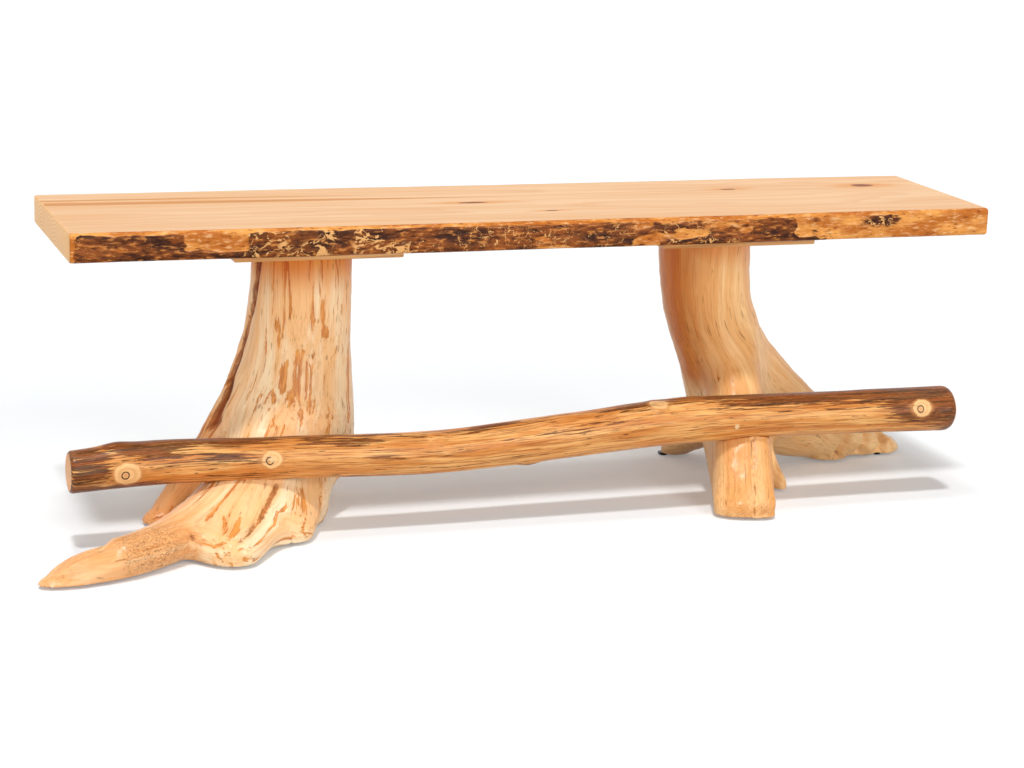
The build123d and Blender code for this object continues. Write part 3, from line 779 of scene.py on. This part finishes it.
# %% Helpers for shader nodes
def tone(red, green, blue):
    """A swatch colour, 0 to 255, as the linear light that shaders count in."""
    share = np.array([red, green, blue]) / 255
    linear = np.where(share <= 0.04045, share / 12.92, ((share + 0.055) / 1.055) ** 2.4)
    return (*linear.tolist(), 1.0)


class Nodes:
    """A shader tree with short ways to add to it. A value is a number or another node's output."""

    def __init__(self, tree):
        self.tree = tree

    def link(self, output, socket):
        self.tree.links.new(output, socket)

    def add(self, kind, inputs=None, **settings):
        """A new node: settings are its options, inputs set or plug its sockets by name or number."""
        made = self.tree.nodes.new("ShaderNode" + kind)
        for key, value in settings.items():
            setattr(made, key, value)
        for key, value in (inputs or {}).items():
            if isinstance(value, bpy.types.NodeSocket):
                self.link(value, made.inputs[key])
            else:
                made.inputs[key].default_value = value
        return made

    def use(self, group, inputs):
        """A node group with its inputs plugged; gives its outputs."""
        return self.add("Group", inputs, node_tree=group).outputs

    def spot(self):
        """Where the point lies in the object, in metres."""
        return self.add("TexCoord").outputs["Object"]

    def attribute(self, name, output="Fac"):
        return self.add("Attribute", attribute_name=name).outputs[output]

    def parts(self, vector):
        return list(self.add("SeparateXYZ", {0: vector}).outputs)

    def joined(self, *parts):
        return self.add("CombineXYZ", dict(enumerate(parts))).outputs[0]

    def vector(self, operation, *values):
        return self.add("VectorMath", dict(enumerate(values)), operation=operation).outputs[0]

    def length(self, vector):
        return self.add("VectorMath", {0: vector}, operation="LENGTH").outputs["Value"]

    def calc(self, operation, *values):
        return self.add("Math", dict(enumerate(values)), operation=operation).outputs[0]

    def plus(self, first, second):
        return self.calc("ADD", first, second)

    def minus(self, first, second):
        return self.calc("SUBTRACT", first, second)

    def times(self, first, second):
        return self.calc("MULTIPLY", first, second)

    def over(self, first, second):
        return self.calc("DIVIDE", first, second)

    def fade(self, value, low, high, first=0.0, last=1.0):
        """First below low, last above high, and a smooth step between."""
        inputs = {"Value": value, "From Min": low, "From Max": high, "To Min": first, "To Max": last}
        return self.add("MapRange", inputs, interpolation_type="SMOOTHSTEP").outputs[0]

    def mix(self, share, first, second, way="MIX"):
        """Two colours mixed by share, each another node's output or a swatch from 0 to 255."""
        first, second = (tone(*colour) if isinstance(colour, tuple) else colour for colour in (first, second))
        return self.add("Mix", {0: share, 6: first, 7: second}, data_type="RGBA", blend_type=way).outputs[2]

    def tint(self, colour, swatch, share, most):
        """The colour turned towards the swatch by most where share is 1."""
        return self.mix(self.times(share, most), colour, swatch)

    def wash(self, colour, swatch, value, low, high, most=1.0):
        """The colour turned towards the swatch as value goes from low to high, by most at the end."""
        return self.mix(self.fade(value, low, high, 0.0, most), colour, swatch)

    def noise(self, place, scale, detail, rough, warp=0.0):
        inputs = {"Vector": place, "Scale": scale, "Detail": detail, "Roughness": rough, "Distortion": warp}
        return self.add("TexNoise", inputs).outputs[0]

    def stretched(self, place, size, shift=(0.0, 0.0, 0.0)):
        """The place scaled by size on each axis and shifted."""
        return self.vector("ADD", self.vector("MULTIPLY", place, size), shift)


def new_group(name, inputs, outputs):
    """An empty node group as Nodes, with its named inputs to read and its named outputs to fill."""
    tree = bpy.data.node_groups.new(name, "ShaderNodeTree")
    for label, value in inputs.items():
        kind = "NodeSocketFloat" if isinstance(value, float) else "NodeSocketVector"
        tree.interface.new_socket(label, in_out="INPUT", socket_type=kind).default_value = value
    for label in outputs:
        tree.interface.new_socket(label, in_out="OUTPUT", socket_type="NodeSocketFloat")
    return Nodes(tree), tree.nodes.new("NodeGroupInput").outputs, tree.nodes.new("NodeGroupOutput").inputs


# %% Group: fibres along the grain
def build_fibres():
    """Fine lines, broad streaks and short dark ticks, all drawn out along the third axis of Place."""
    n, given, gives = new_group(
        "wood_fibres", {"Place": (0, 0, 0), "Fineness": 420.0, "Breadth": 60.0}, ["Fibre", "Streak", "Tick"]
    )
    fine = n.stretched(given["Place"], (1, 1, 0.03))
    n.link(n.noise(fine, given["Fineness"], 3, 0.6), gives["Fibre"])
    broad = n.stretched(given["Place"], (1, 1, 0.07), (3, 1, 2))
    n.link(n.noise(broad, given["Breadth"], 4, 0.6, 0.3), gives["Streak"])
    short = n.stretched(given["Place"], (1, 1, 0.14), (7, 5, 1))
    tick = n.noise(short, n.times(given["Fineness"], 0.55), 2, 0.5)
    n.link(n.fade(tick, 0.66, 0.72), gives["Tick"])
    return n.tree


# %% Group: growth rings
def build_rings():
    """Rings round a pith: the distance from it, made uneven along the grain, counted in steps of Spacing."""
    n, given, gives = new_group(
        "growth_rings", {"Place": (0, 0, 0), "Pith": (0, 0, 0), "Spacing": 0.004, "Waver": 0.01}, ["Ring"]
    )
    slow = n.noise(n.stretched(given["Place"], (1, 1, 0.25)), 6.0, 2, 0.5)
    push = n.times(n.minus(slow, 0.5), given["Waver"])
    away = n.length(n.stretched(n.vector("SUBTRACT", given["Place"], given["Pith"]), (1, 1, 0)))
    count = n.over(n.plus(away, push), given["Spacing"])
    uneven = n.noise(n.stretched(given["Place"], (1, 1, 0.02)), 30.0, 2, 0.5)
    part = n.calc("FRACT", n.plus(count, uneven))
    n.link(n.times(n.fade(part, 0.35, 0.92), n.fade(part, 0.94, 1.0, 1.0, 0.0)), gives["Ring"])
    return n.tree


# %% Group: a knot
def build_knot():
    """A knot: Mask is 1 at its heart and 0 at Size, Ring the thin line round it, drawn out along X by Stretch."""
    n, given, gives = new_group(
        "knot", {"Place": (0, 0, 0), "Centre": (0, 0, 0), "Size": 0.01, "Stretch": 1.0}, ["Mask", "Ring"]
    )
    x, y, z = n.parts(n.vector("SUBTRACT", given["Place"], given["Centre"]))
    away = n.length(n.joined(n.over(x, given["Stretch"]), y, z))
    rag = n.noise(given["Place"], 90.0, 3, 0.5)
    share = n.plus(n.over(away, given["Size"]), n.times(n.minus(rag, 0.5), 0.3))
    n.link(n.fade(share, 0.15, 1.0, 1.0, 0.0), gives["Mask"])
    n.link(n.times(n.fade(share, 0.66, 0.8), n.fade(share, 0.92, 1.12, 1.0, 0.0)), gives["Ring"])
    return n.tree


# %% Group: inner bark
def build_bark():
    """Inner bark: Bark is where it holds, Figure the pale winding lines on it, Shade and Fleck its lighter places."""
    sockets = {
        "Place": (0, 0, 0), "Cover": 0.5, "Grain": 0.3, "Crispness": 0.1, "Scale": 90.0, "Ragged": 1.0, "Worm": 0.5
    }
    n, given, gives = new_group("inner_bark", sockets, ["Bark", "Figure", "Shade", "Fleck"])
    place = n.vector("MULTIPLY", given["Place"], n.joined(1.0, 1.0, given["Grain"]))
    rag = n.minus(n.noise(place, given["Scale"], 6, 0.62, 0.3), 0.5)
    value = n.plus(given["Cover"], n.times(rag, given["Ragged"]))
    low, high = n.minus(0.5, given["Crispness"]), n.plus(0.5, given["Crispness"])
    n.link(n.fade(value, low, high), gives["Bark"])
    wind = n.noise(n.stretched(given["Place"], (1, 1, 0.8)), 46.0, 3, 0.55, 0.8)
    line = n.calc("ABSOLUTE", n.minus(wind, 0.5))
    wide = n.noise(given["Place"], 90.0, 2, 0.5)
    broken = n.fade(n.noise(given["Place"], 22.0, 2, 0.5), 0.42, 0.56)
    thick = n.times(n.fade(wide, 0.38, 0.64, 0.015, 0.075), given["Worm"])
    inside = n.fade(n.over(line, n.calc("MAXIMUM", thick, 0.0005)), 0.75, 1.05, 1.0, 0.0)
    n.link(n.times(inside, broken), gives["Figure"])
    n.link(n.noise(place, n.times(given["Scale"], 0.7), 5, 0.65), gives["Shade"])
    n.link(n.noise(place, n.times(given["Scale"], 3.5), 3, 0.6), gives["Fleck"])
    return n.tree


fibres, rings, knot, bark = build_fibres(), build_rings(), build_knot(), build_bark()
print("node groups:", [tree.name for tree in (fibres, rings, knot, bark)])


# %% Helpers for a finish
def new_finish(name, roughness, coat, coat_roughness):
    """A material with one Principled shader and a clear coat of varnish."""
    material = bpy.data.materials.new(name)
    material.use_nodes = True
    shader = material.node_tree.nodes["Principled BSDF"].inputs
    shader["Roughness"].default_value = roughness
    shader["Coat Weight"].default_value = coat
    shader["Coat Roughness"].default_value = coat_roughness
    shader["Specular IOR Level"].default_value = 0.12
    return material, Nodes(material.node_tree), shader


def relief(n, shader, height, depth):
    """Small relief of depth metres in the shading."""
    bump = n.add("Bump", {"Height": height, "Distance": depth, "Strength": 1.0})
    n.link(bump.outputs[0], shader["Normal"])


def paint(material, piece):
    piece.data.materials.clear()
    piece.data.materials.append(material)


# %% [markdown]
# The seat is flat-sawn pale wood under satin varnish. Its growth rings run out as long faint lines on the top
# and as arcs on the sawn ends, because rings are counted from a pith below the board. Two darker heart lines
# run along the back board, and four knots show on the top.

# %% Seat finish
# Each knot: its middle, its size and how far the grain draws it out.
seat_knots = [
    ((-0.0446, 0.0966, 0.483), 0.0075, 3.6), ((0.0602, 0.0102, 0.483), 0.004, 3.2),
    ((0.4328, 0.1606, 0.483), 0.006, 2.6), ((0.6889, 0.168, 0.483), 0.014, 1.7),
]


def long_streak(n, x, y, start, end, y_start, y_end, width):
    """A streak along the seat from start to end, its middle going from y_start to y_end, tapering to nothing."""
    share = n.over(n.minus(x, start), end - start)
    middle = n.plus(y_start, n.times(share, y_end - y_start))
    off = n.calc("ABSOLUTE", n.minus(y, middle))
    taper = n.times(n.fade(share, 0.3, 1.0, 1.0, 0.0), width)
    inside = n.over(off, n.calc("MAXIMUM", taper, 0.0004))
    return n.fade(inside, 0.5, 1.1, 1.0, 0.0)


def seat_finish(name, pith, lines):
    """Pale flat-sawn wood with rings, streaks and knots; bark, flecks and worm figures on the live edge."""
    material, n, shader = new_finish(name, 0.45, 0.05, 0.25)
    spot = n.spot()
    x, y, z = n.parts(spot)
    place = n.joined(y, z, x)
    fibre, streak, _ = n.use(fibres, {"Place": place, "Fineness": 520.0, "Breadth": 34.0})
    ring = n.use(rings, {"Place": place, "Pith": pith, "Spacing": 0.0065, "Waver": 0.05})["Ring"]
    colour = n.wash((237, 194, 149), (229, 178, 126), streak, 0.35, 0.7)
    colour = n.tint(colour, (220, 150, 88), ring, 0.32)
    colour = n.wash(colour, (214, 148, 92), fibre, 0.5, 0.75, 0.2)
    drift = n.plus(y, n.times(streak, 0.006))
    for line in lines:
        heart = long_streak(n, x, drift, *line)
        colour = n.tint(colour, (204, 130, 40), heart, 0.9)
    for centre, size, stretch in seat_knots:
        given = {"Place": spot, "Centre": centre}
        halo = n.use(knot, {**given, "Size": size * 2.4, "Stretch": stretch * 1.8})["Mask"]
        colour = n.tint(colour, (220, 138, 44), halo, 0.75)
        heart = n.use(knot, {**given, "Size": size * 1.25, "Stretch": stretch})["Mask"]
        colour = n.wash(colour, (122, 52, 0), heart, 0.05, 0.6, 0.95)
    to_end = n.calc("ABSOLUTE", n.minus(x, seat_x * MM))
    half_length = seat_length / 2 * MM
    sawn = n.fade(to_end, half_length - 0.0015, half_length - 0.0005)
    end_grain = n.tint((255, 200, 132), (222, 148, 78), ring, 0.5)
    colour = n.tint(colour, end_grain, sawn, 0.9)
    edge = n.attribute("edge")
    held, figure, shade, fleck = n.use(bark, {
        "Place": place, "Cover": n.attribute("bark"), "Worm": n.attribute("worm"),
        "Grain": 0.3, "Crispness": 0.05, "Scale": 60.0, "Ragged": 1.15,
    })
    under = n.wash((236, 160, 78), (190, 106, 34), shade, 0.36, 0.6)
    under = n.wash(under, (246, 196, 138), fleck, 0.52, 0.68, 0.6)
    under = n.wash(under, (128, 62, 18), fleck, 0.40, 0.33, 0.8)
    brown = n.wash((52, 18, 1), (142, 74, 24), shade, 0.36, 0.6)
    brown = n.wash(brown, (214, 134, 62), fleck, 0.54, 0.66, 0.75)
    brown = n.wash(brown, (44, 14, 0), fleck, 0.46, 0.36, 0.75)
    brown = n.tint(brown, (236, 176, 108), figure, 0.92)
    colour = n.mix(edge, colour, n.mix(held, under, brown))
    n.link(colour, shader["Base Color"])
    n.link(n.fade(n.times(edge, fleck), 0.2, 0.7, 0.45, 0.3), shader["Roughness"])
    rise = n.plus(n.times(shade, 1.2), fleck)
    height = n.plus(n.times(fibre, 0.15), n.times(edge, rise))
    relief(n, shader, height, 0.0012)
    return material


# Each heart line of the back board: where it starts and ends along the seat, its y at both, and half its width
# at the start.
heart_lines = [(-0.73, 0.11, 0.172, 0.145, 0.015), (-0.73, -0.08, 0.203, 0.190, 0.006)]
paint(seat_finish("front_board_wood", (0.05, 0.36, 0.0), []), front_board)
paint(seat_finish("back_board_wood", (0.2, 0.40, 0.0), heart_lines), back_board)


# %% Log finish
def log_finish():
    """Golden sapwood with long fibrous streaks of dark inner bark, pale cut knots and sawn ends."""
    material, n, shader = new_finish("peeled_log_wood", 0.4, 0.18, 0.2)
    place = n.attribute("grain", "Vector")
    spot = n.spot()
    fibre, streak, tick = n.use(fibres, {"Place": place, "Fineness": 520.0, "Breadth": 90.0})
    colour = n.wash((242, 182, 110), (212, 134, 62), streak, 0.34, 0.62)
    colour = n.wash(colour, (140, 70, 24), fibre, 0.48, 0.62, 0.6)
    colour = n.tint(colour, (84, 40, 12), tick, 0.8)
    held, _, shade, fleck = n.use(bark, {
        "Place": place, "Cover": n.attribute("bark"),
        "Grain": 0.05, "Crispness": 0.08, "Scale": 300.0, "Ragged": 2.1,
    })
    brown = n.wash((46, 14, 1), (134, 66, 22), shade, 0.38, 0.6)
    brown = n.wash(brown, (206, 138, 80), fleck, 0.58, 0.68, 0.7)
    colour = n.tint(colour, brown, held, 0.9)
    face = n.fade(n.attribute("end_face"), 0.2, 0.8)
    ring = n.use(rings, {"Place": place, "Pith": (0.003, 0.002, 0), "Spacing": 0.0028, "Waver": 0.004})["Ring"]
    sawn = n.tint((255, 176, 92), (206, 118, 48), ring, 0.35)
    colour = n.mix(face, colour, sawn)
    for centre, size, stretch in log_knots:
        inside = {"Place": spot, "Centre": centre, "Size": size * 1.5, "Stretch": stretch * 1.15}
        halo = n.use(knot, inside)["Mask"]
        colour = n.wash(colour, (206, 138, 76), halo, 0.0, 0.4, 0.7)
        made = n.use(knot, {**inside, "Size": size * 1.2, "Stretch": stretch})
        colour = n.wash(colour, (244, 192, 130), made["Mask"], 0.0, 0.16)
        made = n.use(knot, {**inside, "Size": size * 0.7, "Stretch": stretch})
        colour = n.tint(colour, (196, 124, 62), made["Ring"], 0.25)
        heart = (centre[0] - 0.003, centre[1], centre[2] - 0.0015)
        made = n.use(knot, {**inside, "Centre": heart, "Size": 0.0064, "Stretch": 1.0})
        colour = n.tint(colour, (190, 112, 54), made["Mask"], 0.5)
        colour = n.mix(made["Ring"], colour, (64, 28, 8))
    n.link(colour, shader["Base Color"])
    relief(n, shader, n.plus(n.times(fibre, 0.6), held), 0.0009)
    return material


# A knot in each blaze: its middle on the front of the log, its size and how far the grain draws it out.
log_knots = []
for blaze in blazes:
    z, r = log_centre(np.array(blaze.x))
    y = log_y - np.sqrt(r**2 - (blaze.height - z) ** 2)
    log_knots.append(((blaze.x * MM, float(y) * MM, blaze.height * MM), blaze.spread * 0.8 * MM, 1.2))
paint(log_finish(), log_piece)


# %% Stump finish
def stump_finish(name, light, mid, deep, bare, fibre_share):
    """Peeled sapwood, light to mid by broad streaks, with orange-brown dashes of cambium where bare is low."""
    material, n, shader = new_finish(name, 0.4, 0.2, 0.25)
    place = n.attribute("grain", "Vector")
    fibre, streak, tick = n.use(fibres, {"Place": place, "Fineness": 300.0, "Breadth": 30.0})
    colour = n.wash(light, mid, streak, 0.36, 0.62)
    colour = n.wash(colour, deep, fibre, 0.46, 0.7, fibre_share)
    skin_left = n.noise(n.stretched(place, (1, 1, 0.08), (5, 1, 3)), 90.0, 5, 0.62, 0.3)
    spots = n.fade(skin_left, bare, bare + 0.035)
    spots = n.times(spots, n.fade(n.attribute("clean"), 0.0, 1.0, 1.0, 0.15))
    amber = n.wash((230, 148, 60), (196, 108, 34), fibre, 0.4, 0.6)
    colour = n.tint(colour, amber, spots, 0.85)
    colour = n.tint(colour, (124, 66, 24), tick, 0.5)
    rough = n.attribute("rough")
    pits = n.noise(n.stretched(place, (1, 1, 0.5)), 480.0, 3, 0.6)
    pitted = n.times(n.fade(pits, 0.5, 0.66), rough)
    colour = n.tint(colour, (168, 98, 40), pitted, 0.22)
    # Painted shade: the dark attribute darkens creases, folds, grooves and the feet of the valleys between the toes,
    # and marks the dark seam up the left trunk.
    seam_and_shade = n.attribute("dark")
    rag = n.noise(n.stretched(place, (1, 1, 0.25)), 190.0, 4, 0.65)
    ragged_seam_and_shade = n.plus(seam_and_shade, n.times(n.minus(rag, 0.5), 0.7))
    warm = n.wash((196, 116, 50), (146, 80, 30), rag, 0.4, 0.6)
    colour = n.wash(colour, warm, ragged_seam_and_shade, 0.12, 0.3, 0.85)
    brown = n.wash((70, 28, 4), (158, 82, 24), rag, 0.38, 0.62)
    colour = n.wash(colour, brown, ragged_seam_and_shade, 0.36, 0.56, 0.95)
    # Painted shade: this tint darkens and warms the trunk tops under the seat, the left side of the right trunk and a
    # crease; elsewhere it gives warmer wood tones.
    colour = n.mix(n.attribute("amber"), colour, (228, 166, 78), "MULTIPLY")
    n.link(colour, shader["Base Color"])
    height = n.plus(n.times(fibre, 0.6), n.times(streak, 0.8))
    height = n.minus(height, n.times(pitted, 0.8))
    relief(n, shader, n.minus(height, n.times(spots, 0.3)), 0.0012)
    return material


left_tones = (255, 228, 186), (250, 196, 136), (206, 132, 64)
right_tones = (255, 210, 150), (240, 178, 110), (188, 114, 50)
paint(stump_finish("left_stump_wood", *left_tones, 0.56, 0.36), left_piece)
paint(stump_finish("right_stump_wood", *right_tones, 0.65, 0.35), right_piece)


# %% Finishes of the pieces that stay
def plain_wood(name, light, deep, along, spacing):
    """Planed wood with growth lines; along names the axis that the grain follows."""
    material, n, shader = new_finish(name, 0.45, 0.25, 0.2)
    parts = n.parts(n.spot())
    axis = "XYZ".index(along)
    place = n.joined(parts[(axis + 1) % 3], parts[(axis + 2) % 3], parts[axis])
    fibre, streak, _ = n.use(fibres, {"Place": place, "Fineness": 480.0, "Breadth": 50.0})
    ring = n.use(rings, {"Place": place, "Pith": (0.3, 0.2, 0), "Spacing": spacing, "Waver": 0.03})["Ring"]
    colour = n.wash(light, deep, streak, 0.35, 0.65)
    colour = n.tint(colour, (170, 112, 60), ring, 0.45)
    colour = n.wash(colour, (180, 122, 68), fibre, 0.5, 0.75, 0.3)
    n.link(colour, shader["Base Color"])
    relief(n, shader, fibre, 0.0003)
    return material


def zinc():
    """Zinc-plated steel with faint clouds."""
    material, n, shader = new_finish("zinc_plate", 0.34, 0.0, 0.1)
    cloud = n.noise(n.spot(), 300.0, 4, 0.6)
    colour = n.mix(cloud, (196, 196, 192), (158, 160, 160))
    n.link(colour, shader["Base Color"])
    shader["Metallic"].default_value = 1.0
    n.link(n.fade(cloud, 0.3, 0.7, 0.28, 0.46), shader["Roughness"])
    return material


def moulded_plastic():
    """Dark brown moulded plastic."""
    material, n, shader = new_finish("glide_plastic", 0.3, 0.0, 0.1)
    cloud = n.noise(n.spot(), 900.0, 3, 0.6)
    n.link(n.mix(cloud, (34, 24, 20), (50, 36, 28)), shader["Base Color"])
    relief(n, shader, cloud, 0.00004)
    return material


cleat_wood = plain_wood("cleat_wood", (234, 184, 122), (214, 156, 94), "X", 0.007)
dowel_wood = plain_wood("dowel_wood", (222, 180, 124), (206, 160, 104), "Y", 0.003)
plug_wood = plain_wood("plug_wood", (246, 212, 160), (238, 196, 138), "Y", 0.0016)
steel, plastic = zinc(), moulded_plastic()
stays = {"seat_joint_dowels": dowel_wood}
for side in ("left", "right"):
    stays[side + "_cleat"] = cleat_wood
    stays[side + "_stretcher_plug"] = plug_wood
    stays[side + "_glides"] = plastic
    for hardware in ("_cleat_screws", "_stump_lags", "_stump_washers", "_stretcher_screw", "_glide_nails"):
        stays[side + hardware] = steel
for node, material in stays.items():
    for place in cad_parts[node].material_slots:
        place.material = material
print("finishes on", len(stays), "pieces that stay")

# %% [markdown]
# ## Camera, light and floor
# The camera stands in front of the bench's left end, a little above the seat. Five suns and a pale sky stand in
# for a studio's soft boxes: the high and back ones throw the shadows on the floor, the others fill the faces.

# %% Camera
camera = bpy.data.objects.new("camera", bpy.data.cameras.new("camera"))
bpy.context.scene.collection.objects.link(camera)
camera.data.lens, camera.data.sensor_width = 88.8, 36.0
camera.data.clip_end = 200.0
right_axis = (0.944646, -0.326223, 0.034956)
up_axis = (0.047170, 0.240469, 0.969510)
view_axis = (0.324683, 0.914195, -0.242545)
standpoint = (-1.32153, -3.71951, 1.18979)
camera.matrix_world = Matrix([
    (right_axis[i], up_axis[i], -view_axis[i], standpoint[i]) for i in range(3)
] + [(0, 0, 0, 1)])
bpy.context.scene.camera = camera


# %% Lamps and sky
def sun(name, strength, spread, toward):
    """A lamp far away that shines toward a direction; spread is its apparent size in degrees."""
    lamp = bpy.data.lights.new(name, "SUN")
    lamp.energy, lamp.angle = strength, np.radians(spread)
    made = bpy.data.objects.new(name, lamp)
    made.rotation_mode = "QUATERNION"
    made.rotation_quaternion = Vector(toward).to_track_quat("-Z", "Y")
    bpy.context.scene.collection.objects.link(made)
    return made


sun("high_light", 1.6, 6, (0.12, 0.26, -1.0))
sun("back_light", 0.55, 7, (0.03, -0.09, -1.0))
sun("front_light", 0.62, 20, (-0.20, 0.90, -0.66))
sun("low_light", 0.95, 30, (-0.30, 0.93, -0.16))
sun("left_light", 0.65, 40, (0.95, 0.10, -0.30))


def camera_sees(n):
    """1 for rays from the camera and for what it sees in or through a surface, 0 for all other rays."""
    ray = n.add("LightPath").outputs
    mirrored = n.calc("MAXIMUM", ray["Is Glossy Ray"], ray["Is Transmission Ray"])
    return n.calc("MAXIMUM", ray["Is Camera Ray"], mirrored)


world = bpy.data.worlds.new("studio")
bpy.context.scene.world = world
world.use_nodes = True
sky = Nodes(world.node_tree)
backdrop = world.node_tree.nodes["Background"].inputs
backdrop["Color"].default_value = (1, 1, 1, 1)
sky.link(sky.fade(camera_sees(sky), 0.0, 1.0, 0.22, 1.0), backdrop["Strength"])


# %% Floor
floor_half = 40.0


def make_floor():
    """A wide pale floor; what the camera sees of it is lifted a little, so that only the shadow is grey."""
    mesh = bpy.data.meshes.new("floor")
    corners = [(x * floor_half, y * floor_half, 0) for x, y in ((-1, -1), (1, -1), (1, 1), (-1, 1))]
    mesh.from_pydata(corners, [], [(0, 1, 2, 3)])
    made = bpy.data.objects.new("floor", mesh)
    bpy.context.scene.collection.objects.link(made)
    material, n, shader = new_finish("floor", 0.9, 0.0, 0.5)
    shader["Base Color"].default_value = (0.76, 0.79, 0.81, 1)
    shader["Specular IOR Level"].default_value = 0.0
    shader["Emission Color"].default_value = (1.0, 1.0, 1.0, 1)
    n.link(n.times(camera_sees(n), 0.2), shader["Emission Strength"])
    mesh.materials.append(material)
    return made


floor = make_floor()

# %% Colour view
bpy.context.scene.view_settings.view_transform = "Standard"
